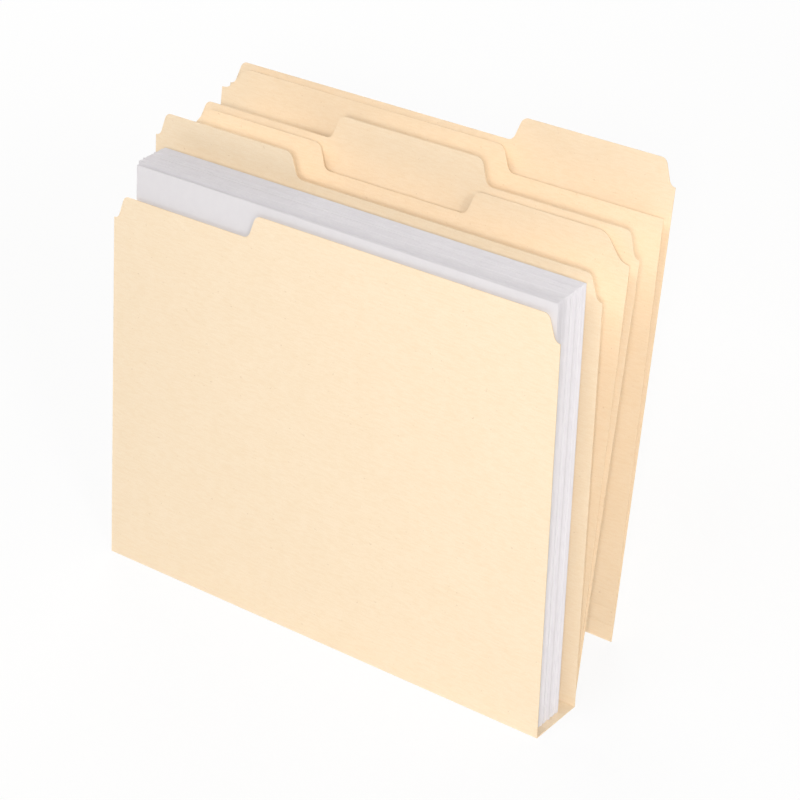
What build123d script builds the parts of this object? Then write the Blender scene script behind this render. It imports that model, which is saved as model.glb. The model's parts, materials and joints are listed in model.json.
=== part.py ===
# A set of third-cut manila folders standing in a fanned row, with a sheaf of paper in the first folder.
# Millimetres. +X runs along the folds to the right, +Y from the front folder to the back one, +Z up.
# The origin is the middle of the underside of the first folder's squared floor.
import os
from math import atan2, cos, radians, sin, tan

from build123d import *

# Card blank of every folder
folder_width = 298.45          # length of the folds, letter size
card = 0.28                    # thickness of the card, 11 point
tab_top = 241.3                # main fold to the top of the tab
tab_rise = 12.7                # tab above the rest of the back flap's top edge
front_drop = 1.6               # top edge of the front flap below that of the back flap
notch_depth = 12.7             # thumb notch below the front flap's top edge
front_score_pitch = 8.0        # spacing of the score lines on the front flap
back_score_pitch = 6.0         # spacing of the score lines on the back flap

# Ogee shoulder at the outer ends of a top edge
shoulder_height = 12.7         # height of the shoulder
foot_share = 0.95              # share of the foot that the hollow may take up
short_foot = 3.0               # level foot at the side edge
short_run = 4.6                # sideways run of the steep part
short_hollow = 4.0             # radius between the foot and the steep part
short_crown = 4.2              # radius between the steep part and the top edge

# Longer shoulder on the front flaps of the second and third folder
long_foot = 5.0
long_run = 11.0
long_hollow = 10.0
long_crown = 10.0

# Ogee step at the end of a tab or a notch
step_run = 5.0                 # sideways run of the steep part
step_radius = 5.0              # radius at both ends of the steep part

# Sheets of paper, letter size, lying on their long edge
sheet_width = 279.4
sheet_height = 215.9
bundle_count = 12              # bundles in the sheaf
bundle_depth = 1.15            # level depth of one bundle
loose_depth = 0.7              # level depth of the loose sheets in front of the sheaf
loose_space = 5.2              # free space between the loose sheets and the sheaf, at the floor
sheaf_shift = 5.0              # middle of the sheaf to the right of the folder's middle
loose_shift = 5.3              # middle of the loose sheets to the right of the folder's middle
bundle_jog = 0.3               # how far bundles stick out to either side of each other
jog_turn_angle = 2.4           # turn from one bundle's jog to the next, radians

# Places of the second and third folder
center_gap = 6.5               # first folder's back score to the second folder's fold
right_gap = 42.4               # second folder's fold to the third folder's fold
center_shift = -5.3            # middle of the second folder from the first one's
right_shift = -17.5            # middle of the third folder from the first one's

# Lean of the leaves from the vertical, degrees
sheaf_lean_angle = 16.2        # sheaf of paper, and the first back flap behind it
loose_fan_angle = 0.1          # loose sheets stand steeper than the sheaf by this
left_front_fan_angle = 0.3     # first front flap stands steeper than the loose sheets by this
center_fan_angle = 5.0         # second front flap leans more than the first back flap by this
center_open_angle = 1.8        # angle between the second folder's flaps
right_fan_angle = 2.35         # third front flap stands steeper than the second back flap by this
right_open_angle = 1.5         # angle between the third folder's flaps

# Clearances
crease_gap = 0.06              # free gap beside the rounded edge of a creased flap
loose_gap = 0.5                # front score to the lower edge of the loose sheets
sheet_seat = 0.05              # lower edge of the sheets above the floor

half_width = folder_width / 2
half_card = card / 2
back_edge = tab_top - tab_rise
front_edge = back_edge - front_drop
notch_edge = front_edge - notch_depth
front_base = 2 * front_score_pitch
back_base = 2 * back_score_pitch
LEFT, CENTER, RIGHT = range(3)

# Shoulders: foot, run, hollow radius and crown radius
SHORT = (short_foot, short_run, short_hollow, short_crown)
LONG = (long_foot, long_run, long_hollow, long_crown)
SQUARE = None

# Score lines of the squared floor, from front to back
front_score = -(front_score_pitch + back_score_pitch)
main_fold = front_score + front_base
back_score = main_fold + back_base
center_fold = back_score + center_gap
right_fold = center_fold + right_gap
fold_pair = card + crease_gap

loose_lean = sheaf_lean_angle - loose_fan_angle
left_front_lean = loose_lean - left_front_fan_angle
center_front_lean = sheaf_lean_angle + center_fan_angle
center_back_lean = center_front_lean + center_open_angle
right_front_lean = center_back_lean - right_fan_angle
right_back_lean = right_front_lean + right_open_angle

os.makedirs("parts", exist_ok=True)


def save(piece, label):
    """Name a finished piece and write it."""
    piece.part.label = label
    export_step(piece.part, f"parts/{label}.step")


def flap_plane(shift, fold, lean):
    """Middle plane of a flap: X along its fold, Y up the flap, origin in the middle of its lower edge."""
    facing = (0, -cos(radians(lean)), sin(radians(lean)))
    return Plane(origin=(shift, fold, half_card), x_dir=(1, 0, 0), z_dir=facing)


def leaf(label, plane, points, radii, creased):
    """Flat leaf of card on its middle plane, from an outline that starts and ends on its base line. A creased
    leaf has a half-round base line to turn on."""
    edge_end = plane.origin - plane.x_dir * half_width
    with BuildPart() as panel:
        with BuildSketch(plane):
            with BuildLine():
                FilletPolyline(*points, radius=radii)
                Line(points[-1], points[0])
            make_face()
        extrude(amount=half_card, both=True)
        if creased:
            with BuildSketch(Plane(origin=edge_end, x_dir=plane.z_dir, z_dir=plane.x_dir)):
                with BuildLine():
                    CenterArc((0, 0), half_card, 0, 180)
                    Line((-half_card, 0), (half_card, 0))
                make_face()
            extrude(amount=folder_width)
    save(panel, label)


def shoulder(level, shape, side):
    """Corners and radii at one end of a top edge, from the side edge inwards. Side is -1 at the left end."""
    end = side * half_width
    if shape is SQUARE:
        return [(end, level)], [0]
    foot, run, hollow, crown = shape
    slope = atan2(shoulder_height, run)
    hollow = min(hollow, foot_share * foot / tan(slope / 2))
    corners = [
        (end, level - shoulder_height),
        (end - side * foot, level - shoulder_height),
        (end - side * (foot + run), level),
    ]
    return corners, [0, hollow, crown]


def flap(label, plane, base, edge, cut, third, shapes=(SHORT, SHORT), creased=False):
    """Die-cut flap from its base line to its top edge. The cut level is a tab if it is higher than the edge
    and a notch if it is lower, and it takes one third of the width. The shapes are those of its two ends."""
    levels = [edge, edge, edge]
    levels[third] = cut
    corners, radii = shoulder(levels[LEFT], shapes[0], -1)
    points = [(-half_width, base)] + corners
    for boundary in (LEFT, CENTER):
        if levels[boundary] != levels[boundary + 1]:
            middle = -half_width + (boundary + 1) * folder_width / 3
            points.append((middle - step_run / 2, levels[boundary]))
            points.append((middle + step_run / 2, levels[boundary + 1]))
            radii += [step_radius, step_radius]
    corners, end_radii = shoulder(levels[RIGHT], shapes[1], 1)
    points += corners[::-1] + [(half_width, base)]
    radii += end_radii[::-1]
    leaf(label, plane, points, radii, creased)


def score_strip(label, plane, low, high, creased=False):
    """Strip of a flap between two score lines."""
    corners = [(-half_width, low), (-half_width, high), (half_width, high), (half_width, low)]
    leaf(label, plane, corners, [0, 0], creased)


def floor_strip(label, front, back):
    """Strip of the squared floor between two score lines."""
    with BuildPart() as strip:
        with BuildSketch(Plane.XY):
            with Locations((0, (front + back) / 2)):
                Rectangle(folder_width, back - front)
        extrude(amount=card)
    save(strip, label)


def sheets(label, front, depth, lean, shift):
    """Bundle of leaning sheets, each with its lower edge on the floor, so that the bundle's top is level."""
    floor = card + sheet_seat
    top = floor + sheet_height * cos(radians(lean))
    reach = (top - floor) * tan(radians(lean))
    with BuildPart() as bundle:
        with BuildSketch(Plane.YZ.offset(shift - sheet_width / 2)):
            with BuildLine():
                Polyline(
                    (front, floor),
                    (front + depth, floor),
                    (front + depth + reach, top),
                    (front + reach, top),
                    close=True,
                )
            make_face()
        extrude(amount=sheet_width)
    save(bundle, label)


def closed_folder(name, third, shift, fold, front_lean, back_lean, front_shapes):
    """Folder creased at its main fold: two flat flaps, each with its score strips in its own plane."""
    front_plane = flap_plane(shift, fold, front_lean)
    back_plane = flap_plane(shift, fold + fold_pair, back_lean)
    flap(f"{name}_front_flap", front_plane, front_base, front_edge, notch_edge, third, front_shapes)
    score_strip(f"{name}_score_strip_1", front_plane, front_score_pitch, front_base)
    score_strip(f"{name}_score_strip_2", front_plane, 0, front_score_pitch, creased=True)
    score_strip(f"{name}_score_strip_3", back_plane, 0, back_score_pitch, creased=True)
    score_strip(f"{name}_score_strip_4", back_plane, back_score_pitch, back_base)
    flap(f"{name}_back_flap", back_plane, back_base, back_edge, tab_top, third)


# First folder, left tab, squared out: its score strips lie flat and its flaps turn on the outer scores
crease_room = half_card + crease_gap
left_front_edge = front_edge - front_base
left_notch_edge = notch_edge - front_base
left_back_edge = back_edge - back_base
left_tab_top = tab_top - back_base
left_front_plane = flap_plane(0, front_score, left_front_lean)
left_back_plane = flap_plane(0, back_score, sheaf_lean_angle)
flap("left_front_flap", left_front_plane, 0, left_front_edge, left_notch_edge, LEFT, creased=True)
floor_strip("left_score_strip_1", front_score + crease_room, front_score + front_score_pitch)
floor_strip("left_score_strip_2", front_score + front_score_pitch, main_fold)
floor_strip("left_score_strip_3", main_fold, main_fold + back_score_pitch)
floor_strip("left_score_strip_4", main_fold + back_score_pitch, back_score - crease_room)
flap("left_back_flap", left_back_plane, 0, left_back_edge, left_tab_top, LEFT, creased=True)

# Paper in the first folder
loose_front = front_score + loose_gap
sheaf_front = loose_front + loose_depth + loose_space
sheets("loose_sheets", loose_front, loose_depth, loose_lean, loose_shift)
for bundle in range(bundle_count):
    jog = bundle_jog * sin(bundle * jog_turn_angle)
    sheets(
        f"paper_bundle_{bundle + 1:02d}",
        sheaf_front + bundle * bundle_depth,
        bundle_depth,
        sheaf_lean_angle,
        sheaf_shift + jog,
    )

# Second folder, center tab, and third folder, right tab, whose notch runs out square at the right
center_leans = (center_front_lean, center_back_lean)
right_leans = (right_front_lean, right_back_lean)
closed_folder("center", CENTER, center_shift, center_fold, *center_leans, (LONG, LONG))
closed_folder("right", RIGHT, right_shift, right_fold, *right_leans, (LONG, SQUARE))
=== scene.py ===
# Looks of a set of third-cut manila folders standing in a fanned row, with a sheaf of paper in the first one.
# Metres. +X runs along the folds to the right, +Y from the front folder to the back one, +Z up.
import json
from math import cos, exp, radians, sin
from random import Random

import bpy
from mathutils import Matrix, Vector

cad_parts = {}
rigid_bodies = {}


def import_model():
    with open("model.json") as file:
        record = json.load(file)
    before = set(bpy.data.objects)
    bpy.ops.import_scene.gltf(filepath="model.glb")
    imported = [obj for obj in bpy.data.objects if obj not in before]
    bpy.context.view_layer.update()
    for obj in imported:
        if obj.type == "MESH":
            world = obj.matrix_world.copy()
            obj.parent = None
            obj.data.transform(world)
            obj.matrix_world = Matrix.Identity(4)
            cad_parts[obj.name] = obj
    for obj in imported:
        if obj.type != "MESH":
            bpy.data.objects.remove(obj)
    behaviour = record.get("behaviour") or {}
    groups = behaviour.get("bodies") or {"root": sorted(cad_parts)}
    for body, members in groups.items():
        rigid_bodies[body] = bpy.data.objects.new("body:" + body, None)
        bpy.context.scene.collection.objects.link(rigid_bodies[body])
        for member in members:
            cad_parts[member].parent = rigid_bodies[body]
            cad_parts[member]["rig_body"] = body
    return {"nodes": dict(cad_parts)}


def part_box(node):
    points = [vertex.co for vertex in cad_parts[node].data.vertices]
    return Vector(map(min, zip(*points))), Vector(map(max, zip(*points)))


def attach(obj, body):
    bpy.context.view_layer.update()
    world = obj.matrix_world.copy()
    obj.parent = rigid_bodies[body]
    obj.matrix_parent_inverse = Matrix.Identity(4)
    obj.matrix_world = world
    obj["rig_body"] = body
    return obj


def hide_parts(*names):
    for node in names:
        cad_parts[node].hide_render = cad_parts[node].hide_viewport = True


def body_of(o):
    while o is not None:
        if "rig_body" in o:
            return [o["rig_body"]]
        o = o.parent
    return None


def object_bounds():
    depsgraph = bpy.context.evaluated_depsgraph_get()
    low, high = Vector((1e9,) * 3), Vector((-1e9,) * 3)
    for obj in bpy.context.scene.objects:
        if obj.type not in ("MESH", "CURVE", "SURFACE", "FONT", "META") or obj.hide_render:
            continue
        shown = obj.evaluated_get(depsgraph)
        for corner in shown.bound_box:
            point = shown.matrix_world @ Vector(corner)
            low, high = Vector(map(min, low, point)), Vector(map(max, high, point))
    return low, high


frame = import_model()
cad_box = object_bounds()

MM = 0.001
ALONG = Vector((1, 0, 0))
BACK = Vector((0, 1, 0))
UPWARD = Vector((0, 0, 1))

# Camera, fitted to the photograph
VIEW_TURN = 47.98              # degrees from the front to the right
VIEW_RISE = 32.22              # degrees above level
VIEW_ROLL = 10.17              # degrees
VIEW_DISTANCE = 1.53697
VIEW_TARGET = Vector((0.068775, 0.006, 0.1474))
FRAME_SIZE = 800               # side of the photograph, pixels
FOCAL_PIXELS = 3281.58         # focal length, pixels
CENTRE_PIXEL = (394.93, 412.6)
SENSOR_WIDTH = 36.0            # millimetres

# Studio: a floor that fades to plain white, and even light from all round
WHITE = (1, 1, 1, 1)
FLOOR_REACH = 12               # from the middle of the floor to its sides
FLOOR_GLOW = 0.88              # share of plain white near the object
FLOOR_NEAR = 0.6               # distance where the floor starts to fade
FLOOR_FAR = 2.5                # distance where it is plain white
FLOOR_COLOUR = (0.94, 0.94, 0.94, 1)
SKY_COLOUR = (0.13, 0.13, 0.131, 1)

# Lamps: turn and rise in degrees, distance, width, power in watts, tint
KEY_TINT = (1, 0.985, 0.97)
FILL_TINT = (1, 0.99, 0.97)
LAMPS = {
    "key_light": (45, 29, 3.2, 0.36, 48, KEY_TINT),
    "right_key_light": (68, 29, 3.2, 0.46, 22, KEY_TINT),
    "side_light": (74, 12, 2.6, 1.6, 13, FILL_TINT),
    "back_light": (225, 14, 1.8, 1.1, 22, FILL_TINT),
    "top_light": (0, 72, 1.5, 0.8, 7, FILL_TINT),
}

# Colours as display values: face, shade and, on card, flecks
CARD_FACE_TONES = ((251, 232, 204), (243, 218, 182), (196, 160, 116))
CARD_EDGE_TONES = ((236, 211, 176), (216, 186, 146), (170, 136, 100))
PAPER_TONES = ((231, 229, 231), (221, 218, 222))

# Noises in card and paper: size of the features, detail, how far they are drawn out along each axis
EVEN = (1, 1, 1)
CARD_CLOUD = (14 * MM, 4, EVEN)
CARD_GRAIN = (0.9 * MM, 3, (6, 1, 1))
CARD_FIBRE = (0.5 * MM, 3, EVEN)
CARD_SPECK = (1.3 * MM, 1, (1.8, 1, 1))
PAPER_CLOUD = (5 * MM, 3, EVEN)
PAPER_FIBRE = (0.35 * MM, 3, EVEN)

# Range of a noise, and the range that it becomes: share of the next colour, or roughness
CARD_CLOUD_SHARE = (0.35, 0.7, 0, 0.15)
CARD_GRAIN_SHARE = (0.4, 0.7, 0, 0.4)
CARD_FIBRE_SHARE = (0.45, 0.7, 0, 0.4)
CARD_SPECK_SHARE = (0.73, 0.82, 0, 0.3)
CARD_ROUGHNESS = (0.3, 0.7, 0.58, 0.72)
PAPER_SHEET_SHARE = (0, 1, 0, 0.6)
PAPER_CLOUD_SHARE = (0.35, 0.7, 0, 0.35)
PAPER_ROUGHNESS = (0.3, 0.7, 0.66, 0.8)

# Gloss, and height of the relief that each noise makes
CARD_GLOSS = 0.3
CARD_CLOUD_RELIEF = 0.03 * MM
CARD_GRAIN_RELIEF = 0.02 * MM
CARD_FIBRE_RELIEF = 0.02 * MM
PAPER_GLOSS = 0.25
PAPER_CLOUD_RELIEF = 0.02 * MM
PAPER_FIBRE_RELIEF = 0.008 * MM

# Card: pressed score lines and the mesh of a leaf
SCORE_DEPTH = 0.11 * MM
SCORE_WIDTH = 0.45 * MM
SCORE_BACK_SHARE = 0.5         # how much of the press shows on the back
SCORE_ROWS = (0, 0.2 * MM, 0.45 * MM, 0.8 * MM, 1.3 * MM)
LEAF_COLUMN = 6 * MM           # widest column of the mesh
LEAF_ROWS = 24
PLACE_DIGITS = 5               # points of an outline are one place where X is the same to these digits
SHARP_ANGLE = 40               # edges sharper than this, in degrees, stay crisp

# Paper: sheets in a bundle, and how far single sheets stray
SHEET_PITCH = 0.1 * MM         # one sheet to the next
SHEET_FILL = 0.9               # share of the pitch that is paper
SHEET_JOG = 0.45 * MM          # furthest that a sheet strays sideways
SHEET_LIFT = 0.35 * MM         # furthest that a sheet stands up
SHEET_TILT = 0.0002            # most that a sheet is turned, radians
STRAY_RARITY = 5               # the higher, the fewer sheets stray far
STRAY_SEED = 7
SHEET_COLUMNS = 12
SHEET_ROWS = 10

# Paper: how the sheets in front lie
SHEAF_FAN = 4.6 * MM           # first sheet of the sheaf lies forward by this at its top left
SHEAF_SPREAD = 2.4 * MM        # first sheet of the sheaf stands forward by this at its right end
LOOSE_SPREAD = 2.4 * MM        # last loose sheet stands back by this at its right end

# Sides of a sheet, kinds of faces on it, and the colour sockets of a mix node
FRONT, REAR = range(2)
FLAT, CUT = range(2)
MIX_SHARE, MIX_FIRST, MIX_SECOND = 0, 6, 7
MIX_RESULT = 2


def colour(red, green, blue):
    """Linear colour from display values of 0 to 255, by the sRGB curve."""
    shares = [value / 255 for value in (red, green, blue)]
    linear = [share / 12.92 if share <= 0.04045 else ((share + 0.055) / 1.055) ** 2.4 for share in shares]
    return (*linear, 1)


def colour_mix(nodes):
    """New node that mixes two colours."""
    node = nodes.new("ShaderNodeMix")
    node.data_type = "RGBA"
    return node


class Shader:
    """A new material and short ways to add nodes to it. Textures follow the piece's own place, in metres."""

    def __init__(self, name):
        self.material = bpy.data.materials.new(name)
        self.material.use_nodes = True
        self.nodes = self.material.node_tree.nodes
        self.links = self.material.node_tree.links
        self.surface = self.nodes["Principled BSDF"]
        self.output = self.nodes["Material Output"]
        self.place = self.nodes.new("ShaderNodeTexCoord").outputs["Object"]

    def put(self, socket, value):
        """Link a socket to another node's output, or set it."""
        if isinstance(value, bpy.types.NodeSocket):
            self.links.new(value, socket)
        else:
            socket.default_value = value

    def add(self, kind, inputs):
        """Add a node with these inputs, by their names or numbers."""
        node = self.nodes.new(kind)
        for key, value in inputs.items():
            self.put(node.inputs[key], value)
        return node

    def noise(self, size, detail, stretch):
        """Noise with features of that size, drawn out along an axis where stretch is more than 1."""
        scale = tuple(1 / (size * share) for share in stretch)
        mapping = self.add("ShaderNodeMapping", {"Vector": self.place, "Scale": scale})
        inputs = {"Vector": mapping.outputs["Vector"], "Scale": 1.0, "Detail": detail}
        return self.add("ShaderNodeTexNoise", inputs).outputs["Fac"]

    def remap(self, value, low, high, first, last):
        """Map a value's range to another, held at its ends."""
        inputs = {"Value": value, "From Min": low, "From Max": high, "To Min": first, "To Max": last}
        return self.add("ShaderNodeMapRange", inputs).outputs["Result"]

    def blend(self, share, first, second):
        """Mix two colours."""
        node = colour_mix(self.nodes)
        for key, value in ((MIX_SHARE, share), (MIX_FIRST, first), (MIX_SECOND, second)):
            self.put(node.inputs[key], value)
        return node.outputs[MIX_RESULT]

    def blend_shaders(self, share, first, second):
        """Mix two shaders."""
        return self.add("ShaderNodeMixShader", {0: share, 1: first, 2: second}).outputs["Shader"]

    def bump(self, height, distance, normal=None):
        """Raise the surface by up to a distance, over another relief if there is one."""
        inputs = {"Height": height, "Distance": distance, "Strength": 1.0}
        if normal is not None:
            inputs["Normal"] = normal
        return self.add("ShaderNodeBump", inputs).outputs["Normal"]

    def finish(self, tone, roughness, gloss, relief):
        """Give the surface its colour, roughness, gloss and relief."""
        self.put(self.surface.inputs["Base Color"], tone)
        self.put(self.surface.inputs["Roughness"], roughness)
        self.put(self.surface.inputs["Specular IOR Level"], gloss)
        self.put(self.surface.inputs["Normal"], relief)
        return self.material


def manila_card(name, tones):
    """Smooth buff card with cloudy pulp, short fibres, a few flecks and a faint grain along the fold."""
    face, shade, fleck = (colour(*tone) for tone in tones)
    shader = Shader(name)
    cloud = shader.noise(*CARD_CLOUD)
    grain = shader.noise(*CARD_GRAIN)
    fibre = shader.noise(*CARD_FIBRE)
    speck = shader.noise(*CARD_SPECK)

    tone = shader.blend(shader.remap(cloud, *CARD_CLOUD_SHARE), face, shade)
    tone = shader.blend(shader.remap(grain, *CARD_GRAIN_SHARE), tone, shade)
    tone = shader.blend(shader.remap(fibre, *CARD_FIBRE_SHARE), tone, shade)
    tone = shader.blend(shader.remap(speck, *CARD_SPECK_SHARE), tone, fleck)
    roughness = shader.remap(fibre, *CARD_ROUGHNESS)

    relief = shader.bump(cloud, CARD_CLOUD_RELIEF)
    relief = shader.bump(grain, CARD_GRAIN_RELIEF, relief)
    relief = shader.bump(fibre, CARD_FIBRE_RELIEF, relief)
    return shader.finish(tone, roughness, CARD_GLOSS, relief)


def paper(name, tones):
    """Plain copy paper, each sheet a little lighter or darker than the next."""
    face, shade = (colour(*tone) for tone in tones)
    shader = Shader(name)
    sheet = shader.nodes.new("ShaderNodeNewGeometry").outputs["Random Per Island"]
    cloud = shader.noise(*PAPER_CLOUD)
    fibre = shader.noise(*PAPER_FIBRE)

    tone = shader.blend(shader.remap(sheet, *PAPER_SHEET_SHARE), face, shade)
    tone = shader.blend(shader.remap(cloud, *PAPER_CLOUD_SHARE), tone, shade)
    roughness = shader.remap(fibre, *PAPER_ROUGHNESS)

    relief = shader.bump(cloud, PAPER_CLOUD_RELIEF)
    relief = shader.bump(fibre, PAPER_FIBRE_RELIEF, relief)
    return shader.finish(tone, roughness, PAPER_GLOSS, relief)


CARD_FACE = manila_card("manila_card_face", CARD_FACE_TONES)
CARD_EDGE = manila_card("manila_card_edge", CARD_EDGE_TONES)
PAPER = paper("copy_paper", PAPER_TONES)


def closed_sheet(columns):
    """Points, flat faces and cut edges of a closed sheet of card or paper. Each column holds pairs of a
    front and a back point, from the lower edge up."""
    across = len(columns)
    up = len(columns[0])
    points = [pair[side] for side in (FRONT, REAR) for column in columns for pair in column]
    faces, edges = [], []

    def at(side, column, row):
        return (side * across + column) * up + row

    for column in range(across - 1):
        for row in range(up - 1):
            around = [(column, row), (column + 1, row), (column + 1, row + 1), (column, row + 1)]
            faces.append([at(FRONT, *place) for place in around])
            faces.append([at(REAR, *place) for place in reversed(around)])
    border = [(column, 0) for column in range(across)]
    border += [(across - 1, row) for row in range(1, up)]
    border += [(column, up - 1) for column in reversed(range(across - 1))]
    border += [(0, row) for row in reversed(range(1, up - 1))]
    for here, there in zip(border, border[1:] + border[:1]):
        edges.append([at(FRONT, *there), at(FRONT, *here), at(REAR, *here), at(REAR, *there)])
    return points, faces, edges


def make_piece(name, node, materials, parts):
    """Mesh object from closed sheets, in the place of a CAD node and on its body. The materials are those
    of the flat faces and of the cut edges, or one for both."""
    points, faces, kinds = [], [], []
    for sheet_points, sheet_faces, sheet_edges in parts:
        start = len(points)
        points += sheet_points
        for kind, group in ((FLAT, sheet_faces), (CUT, sheet_edges)):
            faces += [[start + corner for corner in face] for face in group]
            kinds += [kind] * len(group)
    mesh = bpy.data.meshes.new(name)
    mesh.from_pydata(points, [], faces)
    for material in materials:
        mesh.materials.append(material)
    for polygon, kind in zip(mesh.polygons, kinds):
        polygon.material_index = min(kind, len(materials) - 1)
        polygon.use_smooth = kind == FLAT
    mesh.set_sharp_from_angle(angle=radians(SHARP_ANGLE))
    piece = bpy.data.objects.new(name, mesh)
    bpy.context.scene.collection.objects.link(piece)
    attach(piece, body_of(frame["nodes"][node])[0])
    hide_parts(node)


def leaf_frame(node):
    """Directions across a flat CAD node to its front or top, and up along it, from its largest face."""
    facing = max(frame["nodes"][node].data.polygons, key=lambda face: face.area).normal.copy()
    if facing.z < 0:
        facing.negate()
    return facing, facing.cross(ALONG)


def leaf_outline(node, up):
    """Places along the fold where the outline of a card node has points, with its top at each of them."""
    tops = {}
    for vertex in frame["nodes"][node].data.vertices:
        place = round(vertex.co.x, PLACE_DIGITS)
        level = vertex.co.dot(up)
        tops[place] = max(tops.get(place, level), level)
    return sorted(tops.items())


def fill_outline(outline, spacing):
    """The outline with more points wherever two are further apart than the spacing."""
    filled = [outline[0]]
    for (x, top), (next_x, next_top) in zip(outline, outline[1:]):
        steps = max(1, round((next_x - x) / spacing))
        for step in range(1, steps + 1):
            share = step / steps
            filled.append((x + (next_x - x) * share, top + (next_top - top) * share))
    return filled


def score_press(distance):
    """How far the card is pressed in at a distance from a score line."""
    return SCORE_DEPTH * exp(-((distance / SCORE_WIDTH) ** 2))


def leaf_rows(reach, high_score):
    """Heights of a leaf's mesh rows up to its reach, closer together where there may be a score line."""
    rows = list(SCORE_ROWS)
    start = rows[-1]
    end = reach - start if high_score else reach
    rows += [start + (end - start) * row / LEAF_ROWS for row in range(1, LEAF_ROWS + 1)]
    if high_score:
        rows += [reach - step for step in reversed(SCORE_ROWS[:-1])]
    return rows


def card_leaf(node, low_score, high_score):
    """Leaf of card over a CAD node, with pressed lines where its lower or upper edge is a score."""
    facing, up = leaf_frame(node)
    vertices = [vertex.co for vertex in frame["nodes"][node].data.vertices]
    depths = [point.dot(facing) for point in vertices]
    middle = (min(depths) + max(depths)) / 2
    half = (max(depths) - min(depths)) / 2
    base = min(point.dot(up) for point in vertices)
    columns = []
    for x, top in fill_outline(leaf_outline(node, up), LEAF_COLUMN):
        reach = top - base
        column = []
        for row in leaf_rows(reach, high_score):
            press = score_press(row) if low_score else 0
            press += score_press(reach - row) if high_score else 0
            point = ALONG * x + up * (base + row)
            front = point + facing * (middle + half - press)
            rear = point + facing * (middle - half + press * SCORE_BACK_SHARE)
            column.append((front, rear))
        columns.append(column)
    make_piece(f"{node}_card", node, [CARD_FACE, CARD_EDGE], [closed_sheet(columns)])


def stray(draw, reach):
    """How far one sheet strays: most of them hardly, a few by nearly the whole reach."""
    return reach * draw.random() ** STRAY_RARITY


def sheet_bundle(node, draw, fan, spread):
    """Single sheets of paper in the place of a CAD bundle, each a little out of line with the next. The fan
    is how far the top left corners of the first and the last sheet lie forward, and the spread is how far
    their right ends stand back."""
    facing, up = leaf_frame(node)
    low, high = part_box(node)
    lean = facing.z / -facing.y
    depth = high.y - low.y - (high.z - low.z) * lean
    count = round(depth / SHEET_PITCH)
    pitch = depth / count
    height = (high.z - low.z) / up.z
    half = facing * (pitch * up.z * SHEET_FILL / 2)
    parts = []
    for sheet in range(count):
        jog = draw.choice((-1, 1)) * stray(draw, SHEET_JOG)
        lift = stray(draw, SHEET_LIFT)
        tilt = draw.uniform(-SHEET_TILT, SHEET_TILT)
        foot = Vector((0, low.y + (sheet + 0.5) * pitch, low.z))
        forward = fan[0] + (fan[1] - fan[0]) * sheet / count
        behind = spread[0] + (spread[1] - spread[0]) * sheet / count
        columns = []
        for column in range(SHEET_COLUMNS + 1):
            x = low.x + (high.x - low.x) * column / SHEET_COLUMNS
            column_points = []
            for row in range(SHEET_ROWS + 1):
                rise = height * row / SHEET_ROWS
                point = foot + ALONG * (x + jog - tilt * rise) + up * (rise + lift + tilt * (x - low.x))
                point += facing * (forward * (1 - column / SHEET_COLUMNS) * row / SHEET_ROWS)
                point += BACK * (behind * column / SHEET_COLUMNS)
                column_points.append((point + half, point - half))
            columns.append(column_points)
        parts.append(closed_sheet(columns))
    make_piece(f"{node}_sheets", node, [PAPER], parts)


def folders():
    """Card leaves of the three folders. The first one is squared out, so it bends at other scores."""
    for name in ("left", "center", "right"):
        squared = name == "left"
        card_leaf(f"{name}_front_flap", not squared, False)
        card_leaf(f"{name}_score_strip_1", not squared, True)
        card_leaf(f"{name}_score_strip_2", True, squared)
        card_leaf(f"{name}_score_strip_3", squared, True)
        card_leaf(f"{name}_score_strip_4", True, not squared)
        card_leaf(f"{name}_back_flap", not squared, False)


def sheaf():
    """Loose sheets and the sheaf behind them, which fans out at its top left. At the right, the loose sheets
    and the first sheets of the sheaf spread into the space between them."""
    draw = Random(STRAY_SEED)
    sheet_bundle("loose_sheets", draw, (0, 0), (0, LOOSE_SPREAD))
    bundles = sorted(node for node in frame["nodes"] if node.startswith("paper_bundle"))
    for number, node in enumerate(bundles):
        first_fan = SHEAF_FAN * (1 - number / len(bundles))
        last_fan = SHEAF_FAN * (1 - (number + 1) / len(bundles))
        first_spread = -SHEAF_SPREAD if number == 0 else 0
        sheet_bundle(node, draw, (first_fan, last_fan), (first_spread, 0))


def seen_share(nodes, links):
    """1 for a ray that should meet plain white, because it comes from the camera, a gloss or a clear piece,
    and 0 for one that carries light."""
    rays = nodes.new("ShaderNodeLightPath").outputs
    seen = rays["Is Camera Ray"]
    for kind in ("Is Glossy Ray", "Is Transmission Ray"):
        either = nodes.new("ShaderNodeMath")
        either.operation = "MAXIMUM"
        links.new(seen, either.inputs[0])
        links.new(rays[kind], either.inputs[1])
        seen = either.outputs["Value"]
    return seen


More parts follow.
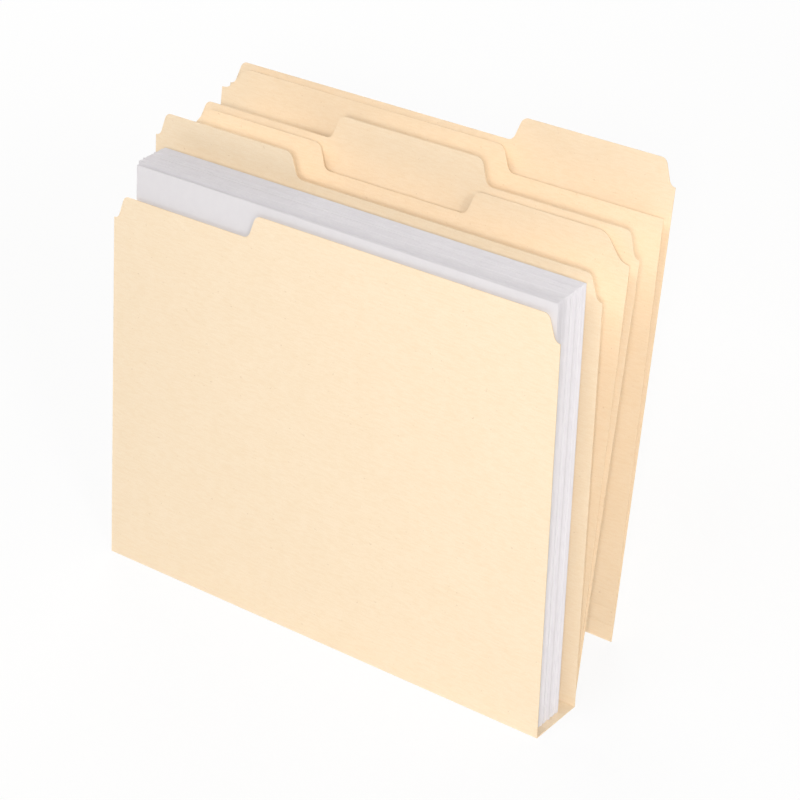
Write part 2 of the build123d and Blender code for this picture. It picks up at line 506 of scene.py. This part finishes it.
def floor():
    """Wide white floor that keeps a soft shadow and fades to plain white far from the object."""
    shader = Shader("studio_floor")
    shader.nodes.remove(shader.surface)
    matte = shader.add("ShaderNodeBsdfDiffuse", {"Color": FLOOR_COLOUR}).outputs["BSDF"]
    glow = shader.add("ShaderNodeEmission", {"Color": WHITE}).outputs["Emission"]
    distance = shader.add("ShaderNodeVectorMath", {0: shader.place})
    distance.operation = "LENGTH"
    glow_share = shader.remap(distance.outputs["Value"], FLOOR_NEAR, FLOOR_FAR, FLOOR_GLOW, 1)
    bright = shader.blend_shaders(glow_share, matte, glow)
    seen = seen_share(shader.nodes, shader.links)
    shader.put(shader.output.inputs["Surface"], shader.blend_shaders(seen, matte, bright))
    corners = [(x * FLOOR_REACH, y * FLOOR_REACH, 0) for x, y in ((-1, -1), (1, -1), (1, 1), (-1, 1))]
    mesh = bpy.data.meshes.new("studio_floor")
    mesh.from_pydata(corners, [], [range(len(corners))])
    mesh.materials.append(shader.material)
    ground = bpy.data.objects.new("studio_floor", mesh)
    bpy.context.scene.collection.objects.link(ground)


def world():
    """Even soft light from all round, white where it is seen."""
    sky = bpy.data.worlds.new("studio")
    bpy.context.scene.world = sky
    sky.use_nodes = True
    nodes, links = sky.node_tree.nodes, sky.node_tree.links
    light = colour_mix(nodes)
    links.new(seen_share(nodes, links), light.inputs[MIX_SHARE])
    light.inputs[MIX_FIRST].default_value = SKY_COLOUR
    light.inputs[MIX_SECOND].default_value = WHITE
    links.new(light.outputs[MIX_RESULT], nodes["Background"].inputs["Color"])


def direction(turn, rise):
    """Direction from the object to a place round it. Turn 0 is in front and 90 to the right."""
    level = cos(radians(rise))
    return Vector((sin(radians(turn)) * level, -cos(radians(turn)) * level, sin(radians(rise))))


def soft_box(name, turn, rise, distance, size, power, tint):
    """Square lamp that faces the middle of the object."""
    lamp = bpy.data.lights.new(name, "AREA")
    lamp.size = size
    lamp.energy = power
    lamp.color = tint
    box = bpy.data.objects.new(name, lamp)
    back = direction(turn, rise)
    middle = (cad_box[0] + cad_box[1]) / 2
    box.location = middle + back * distance
    box.rotation_euler = back.to_track_quat("Z", "Y").to_euler()
    box.visible_camera = False
    bpy.context.scene.collection.objects.link(box)


def camera():
    """Camera at the photograph's view."""
    back = direction(VIEW_TURN, VIEW_RISE)
    right = UPWARD.cross(back).normalized()
    above = back.cross(right)
    roll = radians(VIEW_ROLL)
    rolled_right = right * cos(roll) - above * sin(roll)
    rolled_above = right * sin(roll) + above * cos(roll)
    lens = bpy.data.cameras.new("camera")
    lens.sensor_width = SENSOR_WIDTH
    lens.lens = FOCAL_PIXELS * SENSOR_WIDTH / FRAME_SIZE
    lens.shift_x = (FRAME_SIZE / 2 - CENTRE_PIXEL[0]) / FRAME_SIZE
    lens.shift_y = (CENTRE_PIXEL[1] - FRAME_SIZE / 2) / FRAME_SIZE
    eye = bpy.data.objects.new("camera", lens)
    axes = Matrix((rolled_right, rolled_above, back)).transposed().to_4x4()
    eye.matrix_world = Matrix.Translation(VIEW_TARGET + back * VIEW_DISTANCE) @ axes
    bpy.context.scene.collection.objects.link(eye)
    bpy.context.scene.camera = eye


folders()
sheaf()
floor()
world()
for lamp_name, lamp_values in LAMPS.items():
    soft_box(lamp_name, *lamp_values)
camera()
bpy.context.scene.view_settings.view_transform = "Standard"
